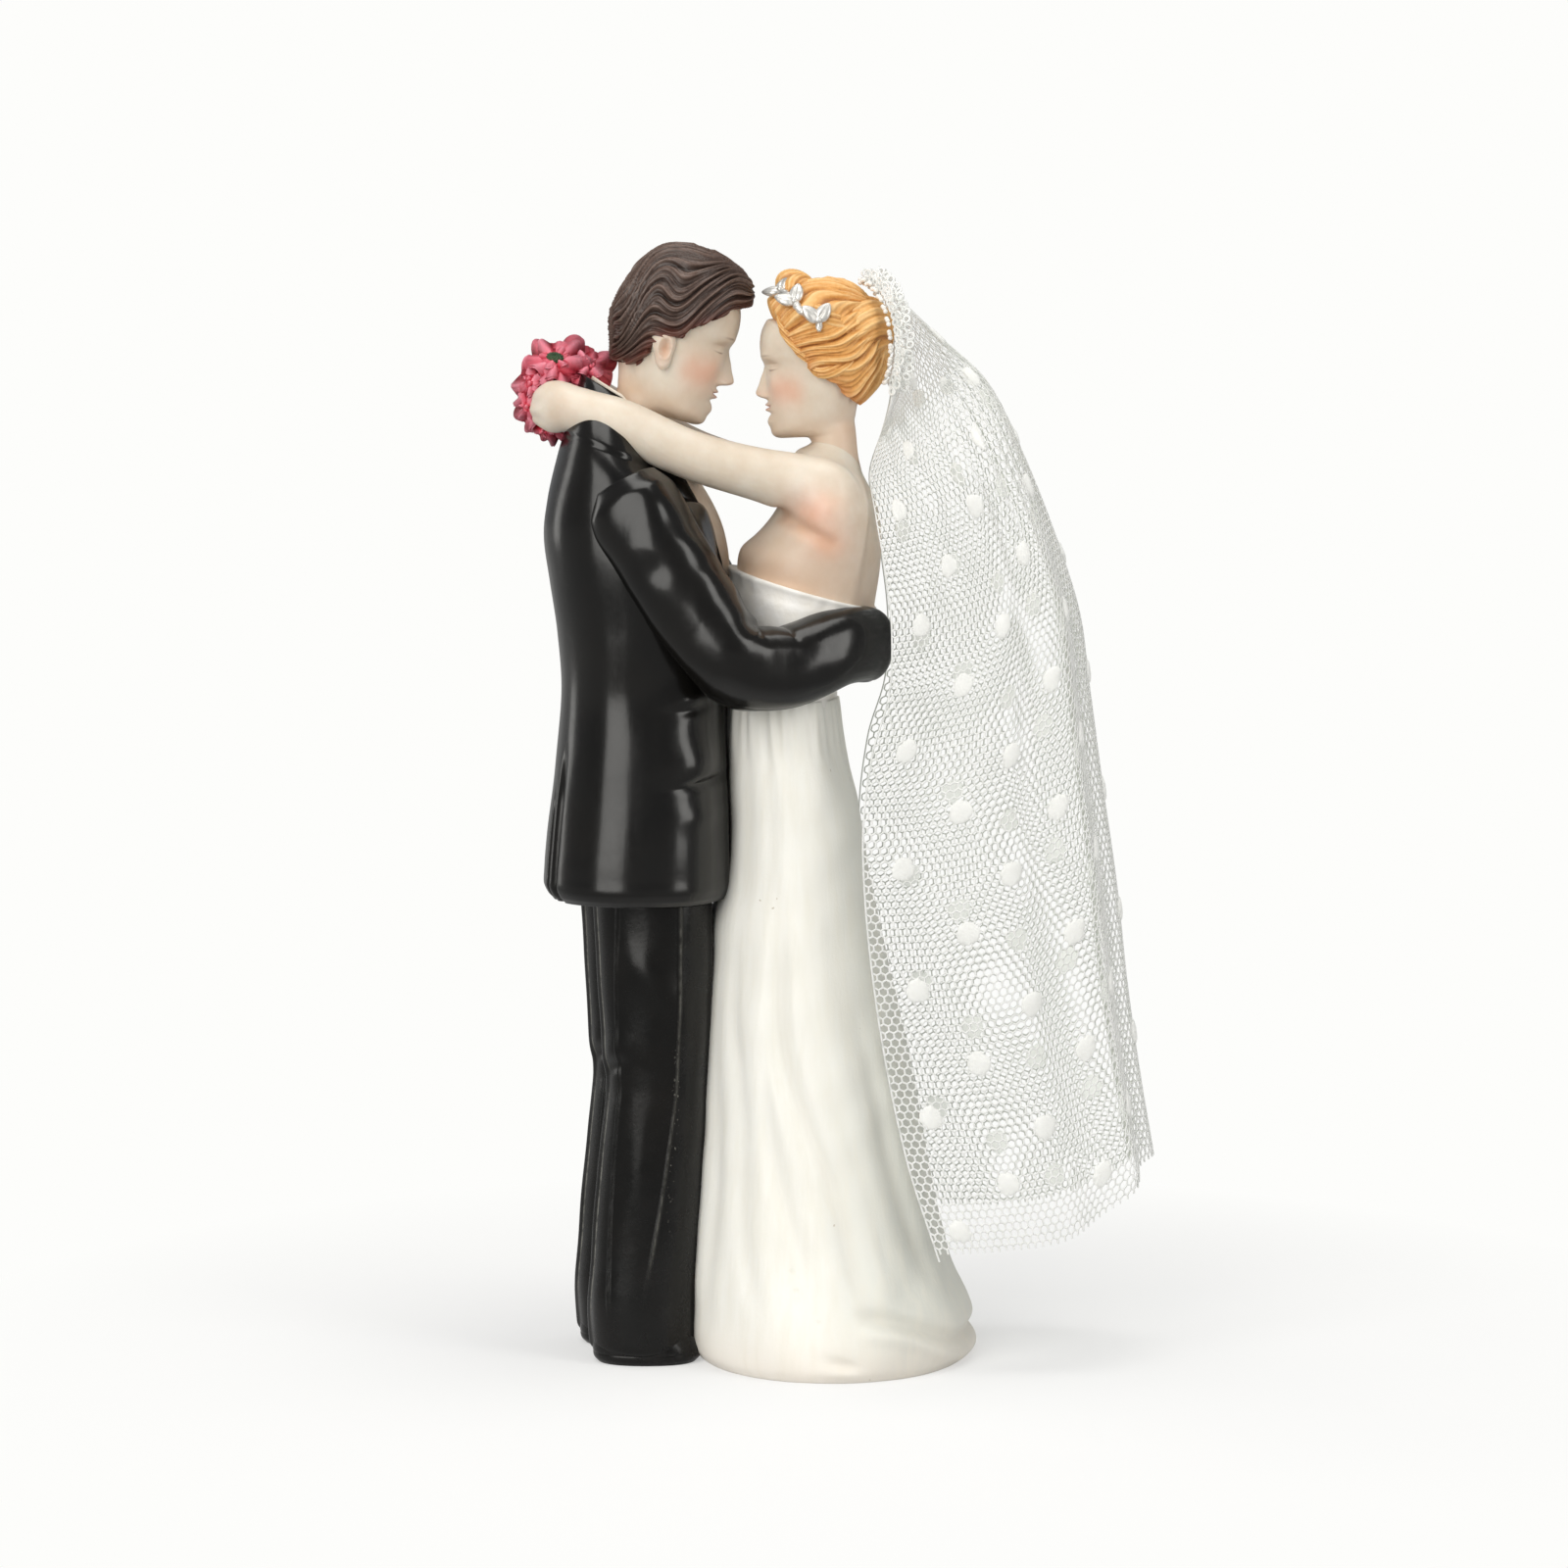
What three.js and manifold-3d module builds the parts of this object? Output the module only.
// A wedding cake topper: a groom and a bride embracing, cast and painted in separate pieces that are glued
// together, with a stitched net veil gathered on the bride's hair. Millimetres, +Z up. The groom stands
// on the -X side and faces +X, the bride stands on the +X side and faces -X. The visible near side is -Y.
import * as THREE from 'three';
import { mergeVertices } from 'three/addons/utils/BufferGeometryUtils.js';
import Module from 'manifold-3d';

// Driving dimensions of the couple: the gown's height carries the groom's legs with it
const fitGap = 0.3;
const standOff = 12;
const skirtLength = 88;
const hipDrop = 25.8;

// Driving dimensions of the groom
const soleThickness = 1.4;
const shoeLength = 14.6;
const shoeWidth = 10.4;
const shoeHeight = 6.4;
const legLift = 3;
const legLength = skirtLength - hipDrop - legLift;
const legDepth = 15;
const legWidth = 12.2;
const legSpacing = 11.8;
const strideBack = 2.2;
const kneeFold = 0.5;
const jacketLength = 64;
const jacketDepth = 26;
const jacketWidth = 34;
const collarRise = 4.6;
const lapelThickness = 0.7;
const ventDepth = 0.8;
const shirtDepth = 12;
const shirtWidth = 13.2;
const shirtLength = 22.5;
const tieLength = 7.6;
const tieHeight = 3.4;
const tieThickness = 2.2;
const sleeveRadius = 5.9;
const cuffRadius = 4.1;
const elbowDrop = 21.4;
const elbowReach = 14.6;
const elbowSpread = 4.2;
const handLength = 10;
const handBreadth = 5.6;
const handThickness = 2.3;
const groomHeadHeight = 20.5;
const groomHeadTiltDegrees = 18;
const groomNoseLength = 1.7;
const groomHairRipple = 0.3;
const earHeight = 5.2;
const earThickness = 1.9;

// Driving dimensions of the bride
const skirtDepth = 38;
const skirtWidth = 43;
const skirtFoldDepth = 1.1;
const bodiceLength = 15.2;
const bodiceDepth = 20;
const bodiceWidth = 25;
const necklineSlope = 0.29;
const bustLength = 18.8;
const bustDepth = 20;
const bustWidth = 28;
const armRadius = 4.1;
const wristRadius = 3;
const brideHeadHeight = 18.4;
const brideHeadTiltDegrees = 5;
const brideNoseLength = 1.3;
const brideHairRipple = 0.35;
const bunRadius = 5.7;
const tiaraBand = 0.55;
const tiaraLeafLength = 2.7;
const tiaraLeafWidth = 1.7;
const tiaraLeafThickness = 0.9;

// Driving dimensions of the flowers and the veil
const bloomRadius = 3.7;
const bloomHeight = 3.4;
const budRadius = 2.5;
const budHeight = 2.6;
const bloomEyeRadius = 0.95;
const stemRadius = 2.7;
const veilLength = 129;
const veilTrail = 38.5;
const veilHalfWidth = 17;
const veilThickness = 0.8;
const veilFoldDepth = 1;
const ruffleRadius = 1.4;
const ruffleWave = 0.35;

// Counts
const garmentSides = 24;
const limbSides = 12;
const headSides = 24;
const hairSides = 24;
const bloomSides = 18;
const ruffleSides = 7;
const ruffleWaves = 8;
const skirtFolds = 9;
const veilFolds = 6;
const veilGapsAcross = 12;
const veilGapsDown = 8;
const tieStations = 9;
const tieSides = 10;
const bandSides = 6;

const TURN = 2 * Math.PI;
const wasm = await Module();
wasm.setup();

// Smooth values through a table of rows that start with their place along the piece
function track(rowShares) {
  const last = rowShares.length - 1;
  const slopeAt = (i, k) => {
    const a = rowShares[Math.max(i - 1, 0)];
    const b = rowShares[Math.min(i + 1, last)];
    return (b[k] - a[k]) / (b[0] - a[0]);
  };
  return (at) => {
    let i = 0;
    while (i < last - 1 && at > rowShares[i + 1][0]) i += 1;
    const [low, high] = [rowShares[i], rowShares[i + 1]];
    const span = high[0] - low[0];
    const t = Math.min(Math.max((at - low[0]) / span, 0), 1);
    const s = t * t;
    const c = s * t;
    return low.slice(1).map((value, n) => {
      const k = n + 1;
      const start = (2 * c - 3 * s + 1) * value + (c - 2 * s + t) * span * slopeAt(i, k);
      return start + (3 * s - 2 * c) * high[k] + (c - s) * span * slopeAt(i + 1, k);
    });
  };
}

// Closed body through rings of points, each end closed on the middle of its ring
function skin(rings) {
  const count = rings[0].length;
  const points = rings.flat();
  const faces = [];
  const middle = (ring) => ring.reduce((sum, p) => sum.add(p), new THREE.Vector3()).divideScalar(count);
  for (let i = 0; i < rings.length - 1; i += 1) {
    for (let j = 0; j < count; j += 1) {
      const a = i * count + j;
      const b = i * count + ((j + 1) % count);
      faces.push(a, b, b + count, a, b + count, a + count);
    }
  }
  const foot = points.push(middle(rings[0])) - 1;
  const head = points.push(middle(rings[rings.length - 1])) - 1;
  const top = (rings.length - 1) * count;
  for (let j = 0; j < count; j += 1) {
    const next = (j + 1) % count;
    faces.push(foot, next, j, head, top + j, top + next);
  }
  return closed(points, faces);
}

function closed(points, faces) {
  const geometry = new THREE.BufferGeometry();
  geometry.setAttribute('position', new THREE.Float32BufferAttribute(points.flatMap((p) => p.toArray()), 3));
  geometry.setIndex(faces);
  return geometry;
}

function solidOf(geometry) {
  const bare = geometry.clone();
  bare.deleteAttribute('normal');
  bare.deleteAttribute('uv');
  const merged = mergeVertices(bare);
  const vertProperties = new Float32Array(merged.getAttribute('position').array);
  const triVerts = new Uint32Array(merged.getIndex().array);
  return new wasm.Manifold(new wasm.Mesh({ numProp: 3, vertProperties, triVerts }));
}

function geometryOf(solid) {
  const mesh = solid.getMesh();
  const geometry = new THREE.BufferGeometry();
  geometry.setAttribute('position', new THREE.BufferAttribute(new Float32Array(mesh.vertProperties), 3));
  geometry.setIndex(new THREE.BufferAttribute(new Uint32Array(mesh.triVerts), 1));
  return geometry;
}

// What is left of a piece once its neighbours and their clearance are cut away
function fitted(solid, neighbours) {
  const rest = neighbours.reduce((body, neighbour) => body.subtract(neighbour), solid);
  const bodies = rest.decompose();
  return bodies.reduce((best, body) => (body.volume() > best.volume() ? body : best));
}

// Upright loft. A row is [height, centre, depth, width] in shares, with the centre measured from "at".
// Sides crowd towards the +X side by the share "crowd". The shape adds millimetres outward.
function loft(form, grow = 0) {
  const { foot, length, at, depth, width, rowShares, steps, sides = garmentSides } = form;
  const { side = 0, crowd = 0, square = 1, rake = () => 0, shape = () => 0 } = form;
  const row = track(rowShares);
  const heights = form.levelShares ?? Array.from({ length: steps + 1 }, (_, i) => i / steps);
  const rings = heights.map((u) => {
    const [centre, deep, wide] = row(u);
    return Array.from({ length: sides }, (_, j) => {
      const even = (TURN * j) / sides;
      const angle = even - crowd * Math.sin(even);
      const c = Math.sign(Math.cos(angle)) * Math.abs(Math.cos(angle)) ** square;
      const s = Math.sign(Math.sin(angle)) * Math.abs(Math.sin(angle)) ** square;
      const out = shape(u, angle) + grow;
      const x = centre * depth + (deep * depth / 2 + out) * c;
      const z = foot + length * u + rake(u, x) + grow * Math.sign(u - 1 / 2) * (u > 0 && u < 1 ? 0 : 1);
      return new THREE.Vector3(at + x, side + (wide * width / 2 + out) * s, z);
    });
  });
  return skin(rings);
}

// Limb along a smooth spine. A row is [place, across, upright] in shares of the radius.
function limb({ spine, radius, rowShares, steps, sides = limbSides, shape = () => 0 }, grow = 0) {
  const curve = new THREE.CatmullRomCurve3(spine, false, 'centripetal');
  const row = track(rowShares);
  const rings = Array.from({ length: steps + 1 }, (_, i) => {
    const u = i / steps;
    const centre = curve.getPointAt(u);
    const tangent = curve.getTangentAt(u);
    const across = new THREE.Vector3(0, 0, 1).cross(tangent).normalize();
    const upright = tangent.clone().cross(across).normalize();
    const [wide, high] = row(u);
    centre.addScaledVector(tangent, grow * (i === steps ? 1 : 0) - grow * (i === 0 ? 1 : 0));
    return Array.from({ length: sides }, (_, j) => {
      const angle = (TURN * j) / sides;
      const out = shape(u, angle) + grow;
      return centre.clone()
        .addScaledVector(across, (wide * radius + out) * Math.cos(angle))
        .addScaledVector(upright, (high * radius + out) * Math.sin(angle));
    });
  });
  return skin(rings);
}

// A point between two carriers: a share of the way, then offsets sideways and upwards
function between(start, end, [share, sideways, upwards], spread, rise) {
  const point = start.clone().lerp(end, share);
  return point.add(new THREE.Vector3(0, sideways * spread, upwards * rise));
}

const bump = (value, centre, reach) => Math.exp(-(((value - centre) / reach) ** 2));
const ramp = (value, from, to) => THREE.MathUtils.smoothstep(value, from, to);
const degrees = THREE.MathUtils.degToRad;

// Groups and pieces
const topper = new THREE.Group();
const groom = new THREE.Group();
const bride = new THREE.Group();
const bouquet = new THREE.Group();
const veilGroup = new THREE.Group();
topper.add(groom, bride, bouquet, veilGroup);

function piece(parent, name, solid, finish) {
  const geometry = geometryOf(solid);
  geometry.computeBoundingBox();
  const seat = geometry.boundingBox.getCenter(new THREE.Vector3()).setZ(geometry.boundingBox.min.z);
  geometry.translate(-seat.x, -seat.y, -seat.z);
  const mesh = new THREE.Mesh(geometry, new THREE.MeshStandardMaterial(finish));
  mesh.name = name;
  mesh.position.copy(seat);
  parent.add(mesh);
}

const suitFinish = { color: 0x1c1b1a, roughness: 0.28, metalness: 0 };
const trouserFinish = { color: 0x252423, roughness: 0.42, metalness: 0 };
const shoeFinish = { color: 0x151414, roughness: 0.2, metalness: 0 };
const skinFinish = { color: 0xecdcc8, roughness: 0.5, metalness: 0 };
const shirtFinish = { color: 0xe8dccb, roughness: 0.5, metalness: 0 };
const darkHairFinish = { color: 0x463432, roughness: 0.5, metalness: 0 };
const fairHairFinish = { color: 0xe6ab62, roughness: 0.5, metalness: 0 };
const gownFinish = { color: 0xece9e2, roughness: 0.55, metalness: 0 };
const silverFinish = { color: 0xc9c8c6, roughness: 0.3, metalness: 0.8 };
const petalFinish = { color: 0xcf3a56, roughness: 0.5, metalness: 0 };
const leafFinish = { color: 0x37512f, roughness: 0.6, metalness: 0 };
const netFinish = { color: 0xf6f6f4, roughness: 0.8, metalness: 0 };

// Groom's jacket: waisted coat with a hem, back vent, lapels and a collar that stands higher at the back
const groomX = -standOff;
const jacketFoot = legLift + legLength + fitGap;
const jacketTop = jacketFoot + jacketLength;
const jacketRowShares = [
  [0.000, 0.023, 0.923, 0.935],
  [0.031, 0.012, 0.962, 0.965],
  [0.117, 0.019, 0.954, 0.955],
  [0.273, 0.033, 0.896, 0.915],
  [0.430, 0.042, 0.862, 0.875],
  [0.555, 0.025, 0.888, 0.895],
  [0.664, -0.008, 0.915, 0.935],
  [0.758, -0.040, 0.912, 0.965],
  [0.828, -0.062, 0.831, 0.960],
  [0.883, -0.075, 0.696, 0.890],
  [0.930, -0.085, 0.554, 0.715],
  [0.969, -0.088, 0.438, 0.500],
  [1.000, -0.081, 0.390, 0.380],
];
function jacketShape(u, angle) {
  const front = Math.abs(Math.atan2(Math.sin(angle), Math.cos(angle)));
  const back = Math.PI - front;
  const lapelEdgeShare = 0.55 * ramp(u, 0.45, 0.95);
  const lapelReach = ramp(u, 0.45, 0.6) * (1 - ramp(u, 0.9, 1));
  const lapel = lapelThickness * bump(front, 0.3 + lapelEdgeShare, 0.2) * lapelReach;
  const vent = -ventDepth * bump(back, 0.55, 0.09) * (1 - ramp(u, 0.2, 0.34));
  const pull = lapelThickness * bump(u, 0.4, 0.05) * bump(front, 1.2, 0.5) / 2;
  return lapel + vent + pull;
}
const jacketForm = {
  foot: jacketFoot, length: jacketLength, at: groomX, depth: jacketDepth, width: jacketWidth,
  rowShares: jacketRowShares, shape: jacketShape, square: 0.9,
  levelShares: [0, 0.02, 0.09, 0.22, 0.35, 0.44, 0.55, 0.66, 0.75, 0.82, 0.88, 0.92, 0.96, 1],
  rake: (u, x) => -collarRise * ramp(u, 0.8, 1) * (x + jacketDepth * 0.08) / (jacketDepth * 0.2),
};

// Shirt front and collar inside the coat, with a bow tie under the chin
const collarX = groomX - jacketDepth * 0.04;
const shirtFoot = jacketTop - shirtLength;
const shirtForm = {
  foot: shirtFoot, length: shirtLength, at: collarX, depth: shirtDepth, width: shirtWidth, sides: 12, steps: 6,
  rowShares: [
    [0.00, 0.75, 0.67, 0.23],
    [0.09, 0.73, 0.80, 0.39],
    [0.22, 0.64, 0.95, 0.58],
    [0.36, 0.53, 1.05, 0.73],
    [0.49, 0.39, 1.12, 0.82],
    [0.62, 0.28, 1.05, 0.88],
    [0.76, 0.15, 0.97, 0.91],
    [0.89, 0.06, 0.86, 0.89],
    [1.00, 0.04, 0.83, 0.86],
  ],
  rake: (u, x) => -collarRise * 0.8 * ramp(u, 0.8, 1) * x / (shirtDepth / 2),
};

// Head with its neck: a row is [height, centre, depth, width] in shares of the head from chin to crown
const headRowShares = [
  [0.00, -0.125, 0.380, 0.420],
  [0.10, -0.120, 0.350, 0.400],
  [0.22, -0.110, 0.365, 0.395],
  [0.252, -0.055, 0.470, 0.410],
  [0.275, 0.000, 0.600, 0.440],
  [0.308, 0.020, 0.665, 0.490],
  [0.353, 0.010, 0.680, 0.545],
  [0.405, 0.005, 0.710, 0.590],
  [0.463, -0.003, 0.735, 0.630],
  [0.545, -0.013, 0.755, 0.665],
  [0.610, -0.025, 0.770, 0.680],
  [0.665, -0.020, 0.810, 0.695],
  [0.743, -0.027, 0.825, 0.715],
  [0.824, -0.043, 0.785, 0.690],
  [0.897, -0.065, 0.650, 0.590],
  [0.956, -0.085, 0.420, 0.400],
  [0.988, -0.100, 0.200, 0.190],
  [1.00, -0.100, 0.060, 0.060],
];
const headLevelShares = [
  0, 0.12, 0.22, 0.25, 0.28, 0.315, 0.35, 0.376, 0.405, 0.432, 0.458, 0.48, 0.52, 0.56, 0.6, 0.645, 0.7, 0.77,
  0.84, 0.9, 0.95, 1,
];
const neckShare = 0.36;
function faceShape(height, nose) {
  return (u, angle) => {
    const front = Math.abs(Math.atan2(Math.sin(angle), Math.cos(angle)));
    const bridge = ramp(u, 0.62, 0.47) * ramp(u, 0.435, 0.462);
    const ridge = nose * (0.25 + 0.75 * bridge) * bump(front, 0, 0.16 + 0.05 * bridge) * ramp(u, 0.66, 0.6)
      * ramp(u, 0.43, 0.462);
    const lips = height * 0.014 * (bump(u, 0.405, 0.012) + bump(u, 0.376, 0.012)) * bump(front, 0, 0.3);
    const chin = height * 0.018 * bump(u, 0.31, 0.03) * bump(front, 0, 0.35);
    const socket = -height * 0.024 * bump(u, 0.6, 0.04) * bump(front, 0.42, 0.16);
    const brow = height * 0.01 * bump(u, 0.665, 0.02) * bump(front, 0.4, 0.25);
    const cheek = height * 0.012 * bump(u, 0.5, 0.06) * bump(front, 0.65, 0.25);
    return ridge + lips + chin + socket + brow + cheek;
  };
}
function headForm(height, nose) {
  return {
    foot: -height * neckShare, length: height * (1 + neckShare), at: height * 0.012, depth: height * 0.94,
    width: height,
    rowShares: headRowShares, levelShares: headLevelShares, sides: headSides, crowd: 0.5,
    shape: faceShape(height, nose),
  };
}

// The head's own frame has its chin level at zero and its face towards +X
function headFrame(x, chin, tilt, turn) {
  const frame = new THREE.Matrix4().makeTranslation(x, 0, chin);
  frame.multiply(new THREE.Matrix4().makeRotationZ(turn));
  return frame.multiply(new THREE.Matrix4().makeRotationY(tilt));
}
const placed = (geometry, frame) => solidOf(geometry.applyMatrix4(frame));

const groomChin = jacketTop + groomHeadHeight * 0.093;
const groomHeadX = groomX + groomHeadHeight * 0.13;
const groomFrame = headFrame(groomHeadX, groomChin, degrees(groomHeadTiltDegrees), 0);
const groomHeadForm = headForm(groomHeadHeight, groomNoseLength);

// An ear is a flat loft that leans out of the head, with a hollow behind its rim
function ear(side, height, thickness, grow = 0) {
  const form = {
    foot: 0, length: height, at: 0, depth: height * 0.58, width: thickness, sides: 10, steps: 5,
    rowShares: [
      [0, 0.1, 0.2, 0.5],
      [0.12, 0.06, 0.46, 0.9],
      [0.4, 0, 0.66, 1],
      [0.72, -0.04, 0.98, 1.05],
      [0.92, -0.04, 0.76, 0.9],
      [1, -0.04, 0.3, 0.5],
    ],
  };
  const geometry = loft(form, grow);
  geometry.rotateX(-side * 0.16);
  geometry.rotateY(-0.18);
  return geometry.translate(-groomHeadHeight * 0.02, side * groomHeadHeight * 0.325, groomHeadHeight * 0.26);
}

// Hair as a cap round the skull, its rim cut by the hairline seen from the side
const groomHairForm = {
  foot: groomHeadHeight * 0.1, length: groomHeadHeight * 0.965, at: 0, depth: groomHeadHeight,
  width: groomHeadHeight, sides: hairSides, crowd: 0.2,
  levelShares: [0, 0.08, 0.2, 0.34, 0.48, 0.61, 0.72, 0.82, 0.9, 0.955, 1],
  rowShares: [
    [0, -0.12, 0.42, 0.50],
    [0.073, -0.1, 0.50, 0.60],
    [0.207, -0.055, 0.71, 0.70],
    [0.373, -0.048, 0.855, 0.78],
    [0.518, -0.038, 0.875, 0.80],
    [0.622, -0.025, 0.86, 0.80],
    [0.725, -0.008, 0.825, 0.77],
    [0.819, 0.015, 0.77, 0.71],
    [0.881, 0.025, 0.69, 0.62],
    [0.933, 0.015, 0.55, 0.50],
    [0.974, 0, 0.36, 0.32],
    [1, 0, 0.14, 0.12],
  ],
  shape: (u, angle) => groomHairRipple * Math.sin(7 * angle + 5 * Math.sin(4 * u)) * ramp(u, 0, 0.15)
    * (1 - ramp(u, 0.9, 1)),
};
const hairlineShares = [
  [0.62, 0.8], [0.37, 0.71], [0.3, 0.64], [0.2, 0.575], [0.12, 0.52], [0.07, 0.44], [0.02, 0.43],
  [-0.05, 0.42], [-0.1, 0.34], [-0.13, 0.25], [-0.2, 0.18], [-0.36, 0.165], [-0.6, 0.15],
];
function hairlineCut(lineShares, size) {
  const outline = new THREE.Shape();
  outline.moveTo(lineShares[0][0] * size, lineShares[0][1] * size);
  outline.splineThru(lineShares.slice(1).map(([x, z]) => new THREE.Vector2(x * size, z * size)));
  outline.lineTo(-size, -size / 2);
  outline.lineTo(size, -size / 2);
  outline.closePath();
  const cut = new THREE.ExtrudeGeometry(outline, { depth: 2 * size, bevelEnabled: false, curveSegments: 2 });
  return cut.translate(0, 0, -size).rotateX(Math.PI / 2);
}

// Each lower garment is one leg twice, joined at the hips
const legRowShares = [
  [0.000, 0.053, 0.880, 0.934],
  [0.084, 0.053, 0.907, 0.951],
  [0.253, 0.103, 0.913, 0.934],
  [0.422, 0.160, 0.880, 0.918],
  [0.524, 0.203, 0.833, 0.902],
  [0.591, 0.197, 0.873, 0.918],
  [0.726, 0.183, 0.927, 0.967],
  [0.861, 0.173, 0.960, 1.000],
  [1.000, 0.163, 0.993, 1.000],
];
function legShape(u, angle) {
  const back = Math.PI - Math.abs(Math.atan2(Math.sin(angle), Math.cos(angle)));
  const crease = kneeFold * bump(back, Math.PI, 0.14) + kneeFold * bump(back, 0, 0.14);
  const knee = -kneeFold * bump(u, 0.53 + 0.03 * Math.cos(angle), 0.012) * bump(back, 0.7, 0.8);
  const stack = kneeFold * Math.sin(28 * u + Math.cos(angle)) * (1 - ramp(u, 0, 0.3)) / 2;
  return crease + knee + stack;
}
const legForm = (side, back) => ({
  foot: legLift, length: legLength, at: groomX - back, depth: legDepth, width: legWidth,
  side: side * legSpacing / 2, rowShares: legRowShares, shape: legShape, sides: 16,
  levelShares: [0, 0.07, 0.14, 0.25, 0.4, 0.5, 0.53, 0.56, 0.7, 0.85, 1],
});
const hipHeight = legLength * 0.16;
const hipForm = {
  foot: legLift + legLength - hipHeight, length: hipHeight, at: groomX - strideBack / 2, depth: legDepth,
  width: legSpacing, sides: 12, steps: 3,
  rowShares: [
    [0, 0.16, 0.4, 0.5],
    [0.3, 0.155, 0.78, 0.8],
    [0.7, 0.15, 0.96, 1],
    [1, 0.15, 1, 1],
  ],
};

// A shoe is lofted upwards from its sole, long at the ground and short where the trouser leg covers it
const shoeForm = (side, back) => ({
  foot: 0, length: shoeHeight, at: groomX - back + legDepth * 0.08, depth: shoeLength, width: shoeWidth,
  side: side * legSpacing / 2, sides: 16, square: 0.85,
  levelShares: [0, soleThickness * 0.8 / shoeHeight, soleThickness / shoeHeight, 0.45, 0.7, 1],
  rowShares: [
    [0, 0.02, 0.97, 0.95],
    [soleThickness * 0.8 / shoeHeight, 0.02, 1, 1],
    [soleThickness / shoeHeight, 0.015, 0.96, 0.95],
    [0.45, 0.0, 0.94, 0.92],
    [0.7, -0.06, 0.78, 0.8],
    [1, -0.14, 0.5, 0.6],
  ],
});

// Bride's gown: a long skirt whose folds open towards the hem and sweep out behind her
const brideX = standOff;
const skirtRowShares = [
  [0.000, 0.061, 0.953, 0.967],
  [0.017, 0.057, 1.003, 1.000],
  [0.045, 0.055, 1.011, 1.000],
  [0.080, 0.045, 0.984, 0.967],
  [0.125, 0.026, 0.942, 0.912],
  [0.193, 0.008, 0.889, 0.847],
  [0.295, -0.008, 0.826, 0.791],
  [0.420, -0.026, 0.758, 0.735],
  [0.545, -0.047, 0.684, 0.688],
  [0.670, -0.061, 0.584, 0.642],
  [0.773, -0.063, 0.495, 0.605],
  [0.864, -0.075, 0.450, 0.563],
  [0.943, -0.097, 0.400, 0.507],
  [1.000, -0.111, 0.374, 0.474],
];
function skirtShape(u, angle) {
  const open = (1 - ramp(u, 0.1, 0.85)) * ramp(u, 0, 0.05);
  const sweep = angle + 0.5 * u;
  const folds = 0.5 * Math.sin(skirtFolds * sweep) + 0.3 * Math.sin((skirtFolds - 4) * sweep + 1);
  const train = bump(u, 0.07, 0.05) * bump(Math.cos(angle), 1, 0.35);
  return skirtFoldDepth * (folds * open + train / 2);
}
const skirtForm = {
  foot: 0, length: skirtLength, at: brideX, depth: skirtDepth, width: skirtWidth, rowShares: skirtRowShares,
  shape: skirtShape, sides: 38,
  levelShares: [0, 0.015, 0.04, 0.08, 0.14, 0.23, 0.34, 0.48, 0.62, 0.75, 0.86, 0.94, 1],
};

// Strapless bodice, its upper edge dropping from the bust to the back
const bodiceFoot = skirtLength + fitGap;
const neckline = (u, x) => -necklineSlope * u * u * x;
const bodiceForm = {
  foot: bodiceFoot, length: bodiceLength, at: brideX, depth: bodiceDepth, width: bodiceWidth,
  rowShares: [
    [0.000, -0.210, 0.710, 0.808],
    [0.170, -0.208, 0.725, 0.816],
    [0.400, -0.180, 0.800, 0.864],
    [0.630, -0.138, 0.905, 0.944],
    [0.860, -0.097, 0.975, 0.992],
    [1.000, -0.080, 0.960, 0.985],
  ],
  shape: (u, angle) => fitGap * Math.sin(6 * angle + 3 * u) * (1 - u) * u * 2,
  rake: neckline, steps: 6,
};

// Bare shoulders and back above the neckline
const bustFoot = bodiceFoot + bodiceLength + fitGap;
const bustTop = bustFoot + bustLength;
const bustForm = {
  foot: bustFoot, length: bustLength, at: brideX, depth: bustDepth, width: bustWidth,
  rowShares: [
    [0.000, -0.063, 0.915, 0.843],
    [0.117, -0.053, 0.935, 0.857],
    [0.223, -0.028, 0.925, 0.871],
    [0.330, 0.020, 0.860, 0.893],
    [0.436, 0.060, 0.790, 0.921],
    [0.543, 0.088, 0.715, 0.943],
    [0.649, 0.098, 0.635, 0.943],
    [0.755, 0.088, 0.545, 0.843],
    [0.840, 0.073, 0.475, 0.664],
    [0.915, 0.058, 0.415, 0.443],
    [1.000, 0.043, 0.375, 0.329],
  ],
  levelShares: [0, 0.11, 0.22, 0.33, 0.44, 0.55, 0.65, 0.73, 0.8, 0.86, 0.93, 1],
  rake: (u, x) => -necklineSlope * (1 - ramp(u, 0, 0.8)) * x,
  sides: 26,
};

const brideChin = bustTop + brideHeadHeight * 0.14;
const brideHeadX = brideX + brideHeadHeight * 0.035;
const brideFrame = headFrame(brideHeadX, brideChin, degrees(brideHeadTiltDegrees), Math.PI);
const brideHeadForm = headForm(brideHeadHeight, brideNoseLength);

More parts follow.
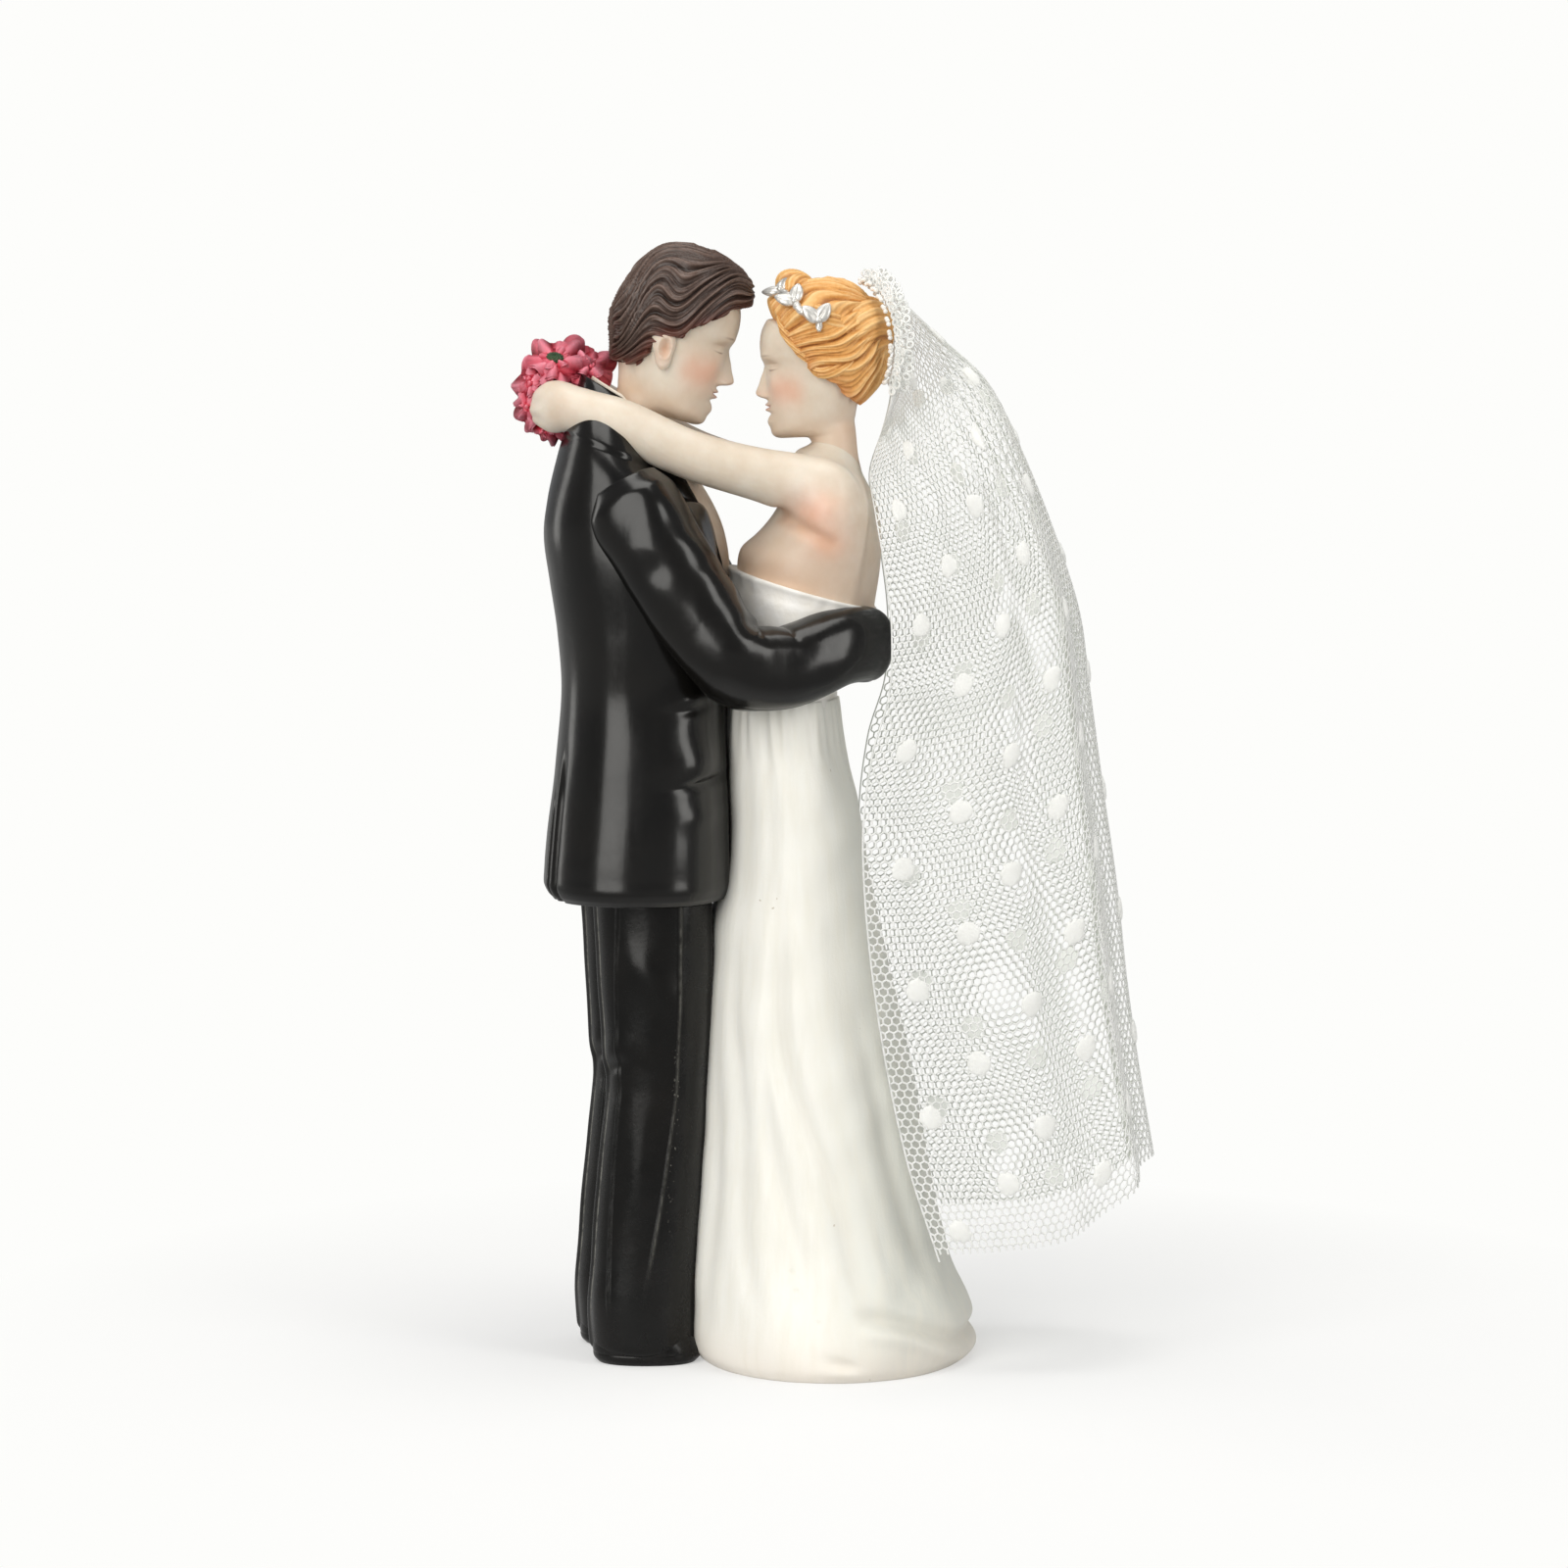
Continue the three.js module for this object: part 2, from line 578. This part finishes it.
// Fair hair drawn back from the face into a bun of winding locks
const brideHairForm = {
  foot: brideHeadHeight * 0.13, length: brideHeadHeight * 0.935, at: 0, depth: brideHeadHeight,
  width: brideHeadHeight, sides: hairSides, crowd: 0.2,
  levelShares: [0, 0.08, 0.18, 0.32, 0.46, 0.6, 0.72, 0.82, 0.9, 0.96, 1],
  rowShares: [
    [0, -0.135, 0.27, 0.45],
    [0.075, -0.14, 0.48, 0.56],
    [0.182, -0.085, 0.77, 0.68],
    [0.342, -0.075, 0.91, 0.78],
    [0.503, -0.06, 0.96, 0.83],
    [0.631, -0.055, 0.93, 0.84],
    [0.738, -0.05, 0.86, 0.80],
    [0.824, -0.055, 0.75, 0.72],
    [0.898, -0.06, 0.62, 0.60],
    [0.963, -0.07, 0.42, 0.42],
    [1, -0.08, 0.16, 0.16],
  ],
  shape: (u, angle) => brideHairRipple * Math.sin(7 * angle - 6 * u) * ramp(u, 0, 0.15)
    * (1 - ramp(u, 0.9, 1)),
};
const brideHairlineShares = [
  [0.62, 1.02], [0.38, 0.95], [0.29, 0.82], [0.2, 0.66], [0.13, 0.52], [0.075, 0.4], [0, 0.32], [-0.09, 0.26],
  [-0.17, 0.18], [-0.3, 0.12], [-0.7, 0.04],
];
const bunForm = {
  foot: -bunRadius, length: 2 * bunRadius, at: 0, depth: 2 * bunRadius, width: 2 * bunRadius, sides: 18,
  levelShares: [0, 0.08, 0.2, 0.35, 0.5, 0.65, 0.8, 0.92, 1],
  rowShares: [
    [0, 0, 0.1, 0.1],
    [0.06, 0, 0.47, 0.5],
    [0.16, 0, 0.72, 0.76],
    [0.3, 0, 0.9, 0.98],
    [0.5, 0, 0.98, 1.08],
    [0.7, 0, 0.9, 0.98],
    [0.84, 0, 0.72, 0.76],
    [0.94, 0, 0.47, 0.5],
    [1, 0, 0.1, 0.1],
  ],
  shape: (u, angle) => brideHairRipple * Math.sin(5 * angle + 9 * u) * (1 - (2 * u - 1) ** 2),
};

// Solids in the order in which they give way to each other
const trousersRaw = solidOf(loft(legForm(-1, 0)))
  .add(solidOf(loft(legForm(1, strideBack))))
  .add(solidOf(loft(hipForm)));
const shoes = [[-1, 0], [1, strideBack]].map(([side, back]) => loft(shoeForm(side, back)));
const shoesGrown = [[-1, 0], [1, strideBack]]
  .map(([side, back]) => solidOf(loft(shoeForm(side, back), fitGap)));
const trousers = fitted(trousersRaw, shoesGrown);
const trousersGrown = [[-1, 0], [1, strideBack]]
  .map(([side, back]) => solidOf(loft(legForm(side, back), fitGap)));

const groomHeadRaw = placed(loft(groomHeadForm), groomFrame);
const groomHeadGrown = placed(loft(groomHeadForm, fitGap), groomFrame);
const ears = [-1, 1].map((side) => placed(ear(side, earHeight, earThickness), groomFrame));
const earsGrown = [-1, 1].map((side) => placed(ear(side, earHeight, earThickness, fitGap), groomFrame));
const groomHead = ears.reduce((head, one) => head.add(one), groomHeadRaw);
const groomHairRaw = placed(loft(groomHairForm), groomFrame);
const groomHair = fitted(groomHairRaw, [
  placed(hairlineCut(hairlineShares, groomHeadHeight), groomFrame),
  groomHeadGrown, ...earsGrown,
]);
const groomHairGrown = placed(loft(groomHairForm, fitGap), groomFrame);

const shirtRaw = solidOf(loft(shirtForm));
const shirtGrown = solidOf(loft(shirtForm, fitGap));
const shirt = fitted(shirtRaw, [groomHeadGrown]);
const jacketRaw = solidOf(loft(jacketForm));
const jacket = fitted(jacketRaw, [shirtGrown, groomHeadGrown, groomHairGrown]);
const jacketGrown = solidOf(loft(jacketForm, fitGap));

const tieZ = jacketTop - tieHeight * 2;
const tieX = collarX + shirtDepth * 0.74 + tieThickness * 0.3;
const tieForm = (grow) => {
  const wings = Array.from({ length: tieStations }, (_, i) => (2 * i) / (tieStations - 1) - 1);
  const rings = wings.map((place) => {
    const flare = 0.34 + 0.66 * Math.min(1, Math.abs(place) * 1.5) - 0.34 * bump(Math.abs(place), 1, 0.12);
    return Array.from({ length: tieSides }, (_, j) => {
      const angle = (TURN * j) / tieSides;
      const high = (tieHeight / 2) * flare + grow;
      const deep = (tieThickness / 2) * (0.6 + 0.4 * bump(place, 0, 0.3)) + grow;
      const y = place * (tieLength / 2 + grow);
      return new THREE.Vector3(tieX + deep * Math.cos(angle), y, tieZ + high * Math.sin(angle));
    });
  });
  return skin(rings.reverse());
};
const tie = fitted(solidOf(tieForm(0)), [shirtGrown, groomHeadGrown, jacketGrown]);
const tieGrown = solidOf(tieForm(fitGap));

const skirtRaw = solidOf(loft(skirtForm));
const skirt = fitted(skirtRaw, [...trousersGrown, jacketGrown, ...shoesGrown]);
const skirtGrown = solidOf(loft(skirtForm, fitGap));
const bodiceRaw = solidOf(loft(bodiceForm));
const bodice = fitted(bodiceRaw, [jacketGrown, shirtGrown]);
const bodiceGrown = solidOf(loft(bodiceForm, fitGap));
const brideHeadGrown = placed(loft(brideHeadForm, fitGap), brideFrame);
const bust = fitted(solidOf(loft(bustForm)), [jacketGrown, shirtGrown, brideHeadGrown]);
const bustGrown = solidOf(loft(bustForm, fitGap));
const brideHead = fitted(placed(loft(brideHeadForm), brideFrame), [groomHeadGrown]);

const bunPlace = new THREE.Matrix4().makeTranslation(-brideHeadHeight * 0.29, 0, brideHeadHeight * 0.66);
const bunTurn = new THREE.Matrix4().makeRotationY(degrees(68));
const bunFrame = brideFrame.clone().multiply(bunPlace).multiply(bunTurn);
const bunSolid = (grow) => placed(loft(bunForm, grow), bunFrame);
const brideHair = fitted(placed(loft(brideHairForm), brideFrame).add(bunSolid(0)), [
  placed(hairlineCut(brideHairlineShares, brideHeadHeight), brideFrame),
  brideHeadGrown, groomHairGrown, groomHeadGrown,
]);
const brideHairGrown = [placed(loft(brideHairForm, fitGap), brideFrame), bunSolid(fitGap)];

// Sleeves: from the coat's shoulders down to the elbows and round the bride's waist
const shoulderShare = 0.835;
const sleeveRowShares = [
  [0, 0.72, 0.7],
  [0.06, 0.98, 0.95],
  [0.2, 1.02, 1.02],
  [0.38, 0.98, 1.04],
  [0.52, 0.92, 0.95],
  [0.62, 0.9, 0.92],
  [0.8, 0.86, 0.9],
  [0.94, 0.78, 0.8],
  [1, 0.7, 0.7],
];
function sleeveShape(u, angle) {
  const elbow = bump(u, 0.55, 0.1) * Math.cos(angle * 2 + 14 * u);
  return kneeFold * elbow + kneeFold * 0.7 * bump(u, 0.1, 0.05) * Math.cos(3 * angle);
}
function sleeveForm(side, hand) {
  const shoulder = new THREE.Vector3(groomX - jacketDepth * 0.03, side * jacketWidth * 0.325,
    jacketFoot + jacketLength * shoulderShare);
  const elbow = new THREE.Vector3(shoulder.x + elbowReach, side * (jacketWidth * 0.325 + elbowSpread),
    shoulder.z - elbowDrop);
  const spine = [
    shoulder,
    between(shoulder, elbow, [0.34, 0.3, -0.02], side * elbowSpread, elbowDrop),
    between(shoulder, elbow, [0.7, 0.15, -0.04], side * elbowSpread, elbowDrop),
    elbow,
    between(elbow, hand, [0.36, 0.45, -0.05], side * elbowSpread, elbowDrop),
    between(elbow, hand, [0.72, 0.65, 0.02], side * elbowSpread, elbowDrop),
    hand,
  ];
  return { spine, radius: sleeveRadius, rowShares: sleeveRowShares, steps: 15, shape: sleeveShape };
}
const backX = brideX + bodiceDepth * (-0.138 + 0.905 / 2);
const cuff = (heightShare, spreadShare, insetShare) => new THREE.Vector3(
  backX + cuffRadius * 0.3 - bodiceDepth * insetShare, bodiceWidth * spreadShare,
  bodiceFoot + bodiceLength * heightShare,
);
const farInsetShare = 0.16;
const nearCuff = cuff(0.55, -0.17, 0);
const farCuff = cuff(0.44, 0.36, farInsetShare);
const nearSleeveForm = sleeveForm(-1, nearCuff);
const farSleeveForm = sleeveForm(1, farCuff);
const gownGrown = [skirtGrown, bodiceGrown, bustGrown];
const nearSleeve = fitted(solidOf(limb(nearSleeveForm)), [jacketGrown, ...gownGrown]);
const farSleeve = fitted(solidOf(limb(farSleeveForm)), [jacketGrown, ...gownGrown]);
const sleevesGrown = [nearSleeveForm, farSleeveForm].map((form) => solidOf(limb(form, fitGap)));

// Groom's hands lie flat on the back of the bodice, the near one turned up and the far one turned down
function handForm(cuffPoint, side, outward) {
  const inside = cuffPoint.clone();
  const reach = -side * handLength;
  const turned = -side * handBreadth * 0.3;
  return {
    spine: [
      inside,
      inside.clone().add(new THREE.Vector3(outward * 0.6 - cuffRadius * 0.12, reach * 0.5, turned)),
      inside.clone().add(new THREE.Vector3(outward - cuffRadius * 0.5, reach, turned)),
    ],
    radius: handBreadth / 2, steps: 5, sides: 10,
    rowShares: [
      [0, handThickness / handBreadth * 0.9, 0.62],
      [0.3, handThickness / handBreadth, 0.8],
      [0.6, handThickness / handBreadth, 1],
      [0.88, handThickness / handBreadth * 0.8, 0.86],
      [1, handThickness / handBreadth * 0.4, 0.5],
    ],
  };
}
const nearHandForm = handForm(nearCuff, -1, 0);
const farHandForm = handForm(farCuff, 1, bodiceDepth * farInsetShare);
const nearHand = fitted(solidOf(limb(nearHandForm)), [...sleevesGrown, ...gownGrown]);
const nearHandGrown = solidOf(limb(nearHandForm, fitGap));
const farHand = fitted(solidOf(limb(farHandForm)), [...sleevesGrown, ...gownGrown, nearHandGrown]);
const farHandGrown = solidOf(limb(farHandForm, fitGap));

// Bride's arms: over the groom's shoulders to the nape, the near hand holding the flowers
const nape = new THREE.Vector3(groomX - jacketDepth * 0.34, 0, jacketTop + collarRise * 0.3);
const armRowShares = [
  [0, 0.4, 0.44],
  [0.04, 0.8, 0.86],
  [0.09, 0.97, 1.06],
  [0.14, 0.98, 1.06],
  [0.3, 0.88, 0.92],
  [0.5, 0.84, 0.9],
  [0.7, 0.8, 0.86],
  [0.84, wristRadius / armRadius, wristRadius / armRadius],
  [0.93, 0.62, 0.86],
  [1, 0.4, 0.56],
];
function armForm(side, raiseShare, overShare) {
  const shoulder = new THREE.Vector3(brideX + bustDepth * 0.28, side * bustWidth * 0.33,
    bustFoot + bustLength * 0.65);
  const end = nape.clone().add(new THREE.Vector3(-armRadius * overShare, side * armRadius * 0.2, 0));
  const rise = end.z - shoulder.z + armRadius;
  const spine = [
    shoulder,
    between(shoulder, end, [0.22, 0.02, -0.02 + raiseShare], side * armRadius, rise),
    between(shoulder, end, [0.52, 0.75, -0.02 + raiseShare], side * armRadius, rise),
    between(shoulder, end, [0.74, 1.05, 0.08 + raiseShare], side * armRadius, rise),
    between(shoulder, end, [0.9, 0.8, 0.08 + raiseShare / 2], side * armRadius, rise),
    end,
  ];
  return { spine, radius: armRadius, rowShares: armRowShares, steps: 13, sides: 12 };
}
const nearArmForm = armForm(-1, 0, 1);
const farArmForm = armForm(1, 0.04, 0.2);
const groomUpper = [jacketGrown, groomHeadGrown, groomHairGrown, shirtGrown, tieGrown, ...sleevesGrown];
const nearArm = fitted(solidOf(limb(nearArmForm)), [...groomUpper, bustGrown]);
const nearArmGrown = solidOf(limb(nearArmForm, fitGap));
const farArm = fitted(solidOf(limb(farArmForm)), [...groomUpper, bustGrown, nearArmGrown]);
const farArmGrown = solidOf(limb(farArmForm, fitGap));

// Flowers: ruffled blooms round a green stem bundle behind the bride's near hand
const handEnd = nearArmForm.spine[nearArmForm.spine.length - 1];
const stemCentre = handEnd.clone()
  .add(new THREE.Vector3(stemRadius * 0.98, stemRadius * 0.95, stemRadius * 0.6));
const stemSolid = (grow) => {
  const ball = new THREE.SphereGeometry(stemRadius + grow, 10, 7);
  return solidOf(ball.scale(0.95, 0.9, 1.25).translate(stemCentre.x, stemCentre.y, stemCentre.z));
};
const bloomRowShares = [
  [0, 0, 0.35, 0.35],
  [0.2, 0, 0.7, 0.7],
  [0.5, 0, 1, 1],
  [0.68, 0, 0.98, 0.98],
  [0.8, 0, 0.8, 0.8],
  [0.86, 0, 0.78, 0.78],
  [0.96, 0, 0.5, 0.5],
  [1, 0, 0.42, 0.42],
];
// A bloom faces along its own +Z; its rim waves in five petals and the layers turn against each other
function bloom(radius, height, centre, facing, grow) {
  const form = {
    foot: 0, length: height, at: 0, depth: 2 * radius, width: 2 * radius, sides: bloomSides,
    levelShares: [0, 0.3, 0.6, 0.78, 0.88, 1], rowShares: bloomRowShares,
    shape: (u, angle) => radius * ramp(u, 0.1, 0.5)
      * (0.12 * Math.sin(6 * angle + (u > 0.75 ? 3 : 0))),
  };
  const aim = new THREE.Matrix4().makeRotationFromQuaternion(
    new THREE.Quaternion().setFromUnitVectors(new THREE.Vector3(0, 0, 1), facing.clone().normalize()),
  );
  const frame = new THREE.Matrix4().makeTranslation(centre.x, centre.y, centre.z).multiply(aim);
  return placed(loft(form, grow), frame);
}
const sideRadius = budRadius * 1.15;
const upperRadius = budRadius * 1.05;
const lowerRadius = budRadius * 0.95;
const farRadius = budRadius * 1.1;
const bloomShares = [
  ['bloom_large', [bloomRadius, bloomHeight], [0.07, -0.06, 0.96], [-0.1, -0.75, 0.65]],
  ['bloom_side', [sideRadius, budHeight], [1.4, -0.15, 0.93], [0.25, -0.75, 0.6]],
  ['bloom_upper', [upperRadius, budHeight], [-0.72, -0.41, 0.24], [-0.6, -0.7, 0.35]],
  ['bloom_middle', [budRadius, budHeight], [-0.8, -0.39, -0.52], [-0.65, -0.7, -0.05]],
  ['bloom_lower', [lowerRadius, budHeight], [-0.2, -0.55, -1.1], [-0.4, -0.6, -0.6]],
  ['bloom_far', [farRadius, budHeight], [-0.3, 0.75, -0.2], [-0.5, 0.85, 0.1]],
];
const carriers = [...groomUpper, nearArmGrown, farArmGrown];
const stems = fitted(stemSolid(0), carriers);
const taken = [...carriers, stemSolid(fitGap)];
const blooms = bloomShares.map(([name, size, seat, facing]) => {
  const centre = stemCentre.clone().add(new THREE.Vector3(...seat).multiplyScalar(stemRadius));
  const aim = new THREE.Vector3(...facing);
  const solid = fitted(bloom(size[0], size[1], centre, aim, 0), taken);
  taken.push(bloom(size[0], size[1], centre, aim, fitGap));
  return { name, solid, centre, aim };
});
const eyeCentre = blooms[0].centre.clone().addScaledVector(blooms[0].aim.clone().normalize(), bloomHeight);
const bloomEye = fitted(
  solidOf(new THREE.SphereGeometry(bloomEyeRadius, 8, 6).translate(eyeCentre.x, eyeCentre.y, eyeCentre.z)),
  [bloom(bloomRadius, bloomHeight, blooms[0].centre, blooms[0].aim, fitGap)],
);

// Tiara: a fine band that lies on the hair behind the brow, with pairs of silver leaves
const brideHairRow = track(brideHairForm.rowShares);
const tiaraAt = (share) => {
  const angle = share * Math.PI;
  const yShare = -0.44 * Math.sign(Math.cos(angle)) * Math.abs(Math.cos(angle)) ** 0.7;
  const zShare = 0.62 + 0.375 * Math.sin(angle);
  const place = (zShare * brideHeadHeight - brideHairForm.foot) / brideHairForm.length;
  const [centre, deep, wide] = brideHairRow(place);
  const xShare = centre + (deep / 2) * Math.sqrt(Math.max(0, 1 - (yShare / (wide / 2)) ** 2));
  return new THREE.Vector3(xShare, yShare, zShare).multiplyScalar(brideHeadHeight);
};
const tiaraStartShare = 0.06;
const tiaraSpanShare = 1 - 2 * tiaraStartShare;
const bandPoints = 13;
const bandShares = Array.from({ length: bandPoints }, (_, i) => i / (bandPoints - 1));
const tiaraPath = new THREE.CatmullRomCurve3(
  bandShares.map((share) => tiaraAt(tiaraStartShare + tiaraSpanShare * share)),
);
const bandSection = new THREE.Shape(Array.from({ length: bandSides }, (_, j) => {
  const angle = (TURN * j) / bandSides;
  return new THREE.Vector2(tiaraBand * Math.cos(angle), tiaraBand * Math.sin(angle));
}));
const band = new THREE.ExtrudeGeometry(bandSection, {
  steps: bandPoints - 1, bevelEnabled: false, extrudePath: tiaraPath,
});
const leafPlaceShares = [0.12, 0.27, 0.43, 0.57, 0.73, 0.88];
const leaves = leafPlaceShares.flatMap((share) => [-1, 1].map((side) => {
  const spot = tiaraAt(share);
  const along = tiaraAt(share + 0.01).sub(tiaraAt(share - 0.01)).normalize();
  const outward = spot.clone().sub(new THREE.Vector3(0, 0, brideHeadHeight / 2)).normalize();
  const flat = outward.clone().cross(along).normalize();
  const way = along.clone().multiplyScalar(share < 1 / 2 ? 1 : -1).addScaledVector(flat, side * 0.9)
    .addScaledVector(outward, 0.35).normalize();
  const across = way.clone().cross(outward).normalize();
  const leaf = new THREE.SphereGeometry(1 / 2, 6, 3);
  leaf.scale(tiaraLeafThickness, tiaraLeafWidth, tiaraLeafLength);
  leaf.translate(0, 0, tiaraLeafLength * 0.4);
  leaf.applyMatrix4(new THREE.Matrix4().makeBasis(across.clone().cross(way), across, way));
  return leaf.translate(spot.x, spot.y, spot.z);
}));
const tiaraBody = leaves.reduce((body, leaf) => body.add(placed(leaf, brideFrame)), placed(band, brideFrame));
const tiara = fitted(tiaraBody, [brideHairGrown[0], brideHeadGrown, groomHairGrown, groomHeadGrown]);

// Veil: one net gathered on a ruffle that runs round the bun, falling in folds to an uneven hem
const ruffleAt = (s) => {
  const angle = (s - 0.5) * TURN * 0.8;
  const x = -brideHeadHeight * (0.43 + 0.18 * Math.abs(Math.sin(angle)));
  const y = Math.sin(angle) * bunRadius;
  const z = brideHeadHeight * (0.605 + 0.42 * Math.cos(angle));
  return new THREE.Vector3(x, y, z).applyMatrix4(brideFrame);
};
const ruffleSolid = (grow) => {
  const steps = 24;
  const rings = Array.from({ length: steps + 1 }, (_, i) => {
    const u = i / steps;
    const centre = ruffleAt(u);
    const tangent = ruffleAt(Math.min(u + 0.01, 1)).sub(ruffleAt(Math.max(u - 0.01, 0))).normalize();
    const across = new THREE.Vector3(1, 0, 0).cross(tangent).normalize();
    const upright = tangent.clone().cross(across);
    const wave = ruffleWave * Math.sin(TURN * ruffleWaves * u);
    const size = ruffleRadius * (0.85 + 0.15 * Math.sin(Math.PI * u)) + wave + grow;
    return Array.from({ length: ruffleSides }, (_, j) => {
      const angle = (TURN * j) / ruffleSides;
      return centre.clone().addScaledVector(across, size * 0.8 * Math.cos(angle))
        .addScaledVector(upright, size * Math.sin(angle));
    });
  });
  return solidOf(skin(rings));
};
const headParts = [...brideHairGrown, brideHeadGrown];
const ruffle = fitted(ruffleSolid(0), headParts);

// Reach of the veil's back line and of its front edges over the drop, in shares of trail and length
const veilBackShares = track([
  [0, 0], [0.01, 0.08], [0.057, 0.265], [0.103, 0.43], [0.174, 0.53], [0.258, 0.645], [0.34, 0.73],
  [0.42, 0.765], [0.524, 0.8125], [0.627, 0.8625], [0.73, 0.9], [0.824, 0.945], [0.92, 1],
]);
const veilFrontShares = track([
  [0, -0.04], [0.126, -0.04], [0.188, -0.035], [0.236, 0.025], [0.31, 0.07], [0.36, 0.085], [0.42, 0.075],
  [0.483, 0.015], [0.576, -0.015], [0.73, 0.03], [0.886, 0.13], [1, 0.25],
]);
const veilTop = ruffleAt(0.5);
const hemLiftShare = 0.08;
function veilPoint(s, t) {
  const start = ruffleAt(0.03 + 0.94 * s);
  const round = Math.sin(Math.PI * s);
  const foot = veilTop.z - veilLength * (1 - hemLiftShare * round ** 3);
  const z = start.z + (foot - start.z) * t;
  const drop = (veilTop.z - z) / veilLength;
  const back = veilTop.x + veilTrail * veilBackShares(drop)[0];
  const front = veilTop.x + veilTrail * veilFrontShares(drop)[0];
  const easing = ramp(t, 0, 0.18);
  const fold = veilFoldDepth * Math.cos(TURN * veilFolds * s) * ramp(t, 0.05, 0.5);
  const width = veilHalfWidth * (0.52 + 0.48 * ramp(t, 0, 0.7)) + fold;
  const x = front + (back + fold - front) * round ** 0.8;
  const y = -width * Math.sign(Math.cos(Math.PI * s)) * Math.abs(Math.cos(Math.PI * s)) ** 0.75;
  const backEasing = 1 - (1 - easing) * (1 - round ** 4);
  return new THREE.Vector3(start.x + (x - start.x) * backEasing, start.y + (y - start.y) * easing, z);
}
function veilNormal(s, t) {
  const d = 0.002;
  const along = veilPoint(Math.min(s + d, 1), t).sub(veilPoint(Math.max(s - d, 0), t));
  const down = veilPoint(s, Math.min(t + d, 1)).sub(veilPoint(s, Math.max(t - d, 0)));
  return along.cross(down).normalize();
}
// The net's lines bound its bars and gaps by turns, so a cell is a gap where its row and column are both odd
const gapShare = 0.7;
const netLines = (gaps) => {
  const middles = Array.from({ length: gaps }, (_, k) => k + 1 / 2);
  const edges = middles.flatMap((middle) => [middle - gapShare / 2, middle + gapShare / 2]);
  return [0, ...edges.map((edge) => edge / gaps), 1];
};
function veilSheet() {
  const acrossLines = netLines(veilGapsAcross);
  const downLines = netLines(veilGapsDown);
  const columns = acrossLines.length - 1;
  const rows = downLines.length - 1;
  const points = [];
  const faces = [];
  const index = (layer, i, j) => (layer * (rows + 1) + i) * (columns + 1) + j;
  for (const layer of [0, 1]) {
    for (const down of downLines) {
      for (const s of acrossLines) {
        const t = 0.03 + 0.97 * down ** 1.3;
        const offset = (layer - 1 / 2) * veilThickness;
        points.push(veilPoint(s, t).addScaledVector(veilNormal(s, t), offset));
      }
    }
  }
  const quad = (a, b, c, d) => faces.push(a, b, c, a, c, d);
  const empty = (i, j) => i < 0 || j < 0 || i === rows || j === columns || (i % 2 === 1 && j % 2 === 1);
  for (let i = 0; i < rows; i += 1) {
    for (let j = 0; j < columns; j += 1) {
      if (empty(i, j)) continue;
      const low = [index(0, i, j), index(0, i, j + 1), index(0, i + 1, j + 1), index(0, i + 1, j)];
      const high = [index(1, i, j), index(1, i, j + 1), index(1, i + 1, j + 1), index(1, i + 1, j)];
      quad(...high);
      quad(...low.toReversed());
      if (empty(i, j - 1)) quad(low[0], high[0], high[3], low[3]);
      if (empty(i, j + 1)) quad(high[1], low[1], low[2], high[2]);
      if (empty(i - 1, j)) quad(low[0], low[1], high[1], high[0]);
      if (empty(i + 1, j)) quad(high[3], high[2], low[2], low[3]);
    }
  }
  return closed(points, faces);
}
const veilNeighbours = [...headParts, ruffleSolid(fitGap), ...gownGrown, ...sleevesGrown, nearHandGrown,
  farHandGrown, nearArmGrown, farArmGrown];
const veil = fitted(solidOf(veilSheet()), veilNeighbours);

piece(groom, 'groom_trousers', trousers, trouserFinish);
piece(groom, 'groom_shoe_near', solidOf(shoes[0]), shoeFinish);
piece(groom, 'groom_shoe_far', solidOf(shoes[1]), shoeFinish);
piece(groom, 'groom_jacket', jacket, suitFinish);
piece(groom, 'groom_sleeve_near', nearSleeve, suitFinish);
piece(groom, 'groom_sleeve_far', farSleeve, suitFinish);
piece(groom, 'groom_shirt', shirt, shirtFinish);
piece(groom, 'groom_bow_tie', tie, suitFinish);
piece(groom, 'groom_hand_near', nearHand, skinFinish);
piece(groom, 'groom_hand_far', farHand, skinFinish);
piece(groom, 'groom_head', groomHead, skinFinish);
piece(groom, 'groom_hair', groomHair, darkHairFinish);
piece(bride, 'bride_skirt', skirt, gownFinish);
piece(bride, 'bride_bodice', bodice, gownFinish);
piece(bride, 'bride_shoulders', bust, skinFinish);
piece(bride, 'bride_arm_near', nearArm, skinFinish);
piece(bride, 'bride_arm_far', farArm, skinFinish);
piece(bride, 'bride_head', brideHead, skinFinish);
piece(bride, 'bride_hair', brideHair, fairHairFinish);
piece(bride, 'tiara', tiara, silverFinish);
piece(bouquet, 'bouquet_stems', stems, leafFinish);
for (const { name, solid } of blooms) piece(bouquet, name, solid, petalFinish);
piece(bouquet, 'bloom_eye', bloomEye, leafFinish);
piece(veilGroup, 'veil_ruffle', ruffle, netFinish);
piece(veilGroup, 'veil', veil, netFinish);

// The origin is under the middle of the whole topper
const bounds = new THREE.Box3().setFromObject(topper);
const middle = bounds.getCenter(new THREE.Vector3());
topper.position.set(-middle.x, -middle.y, -bounds.min.z);

export default topper;
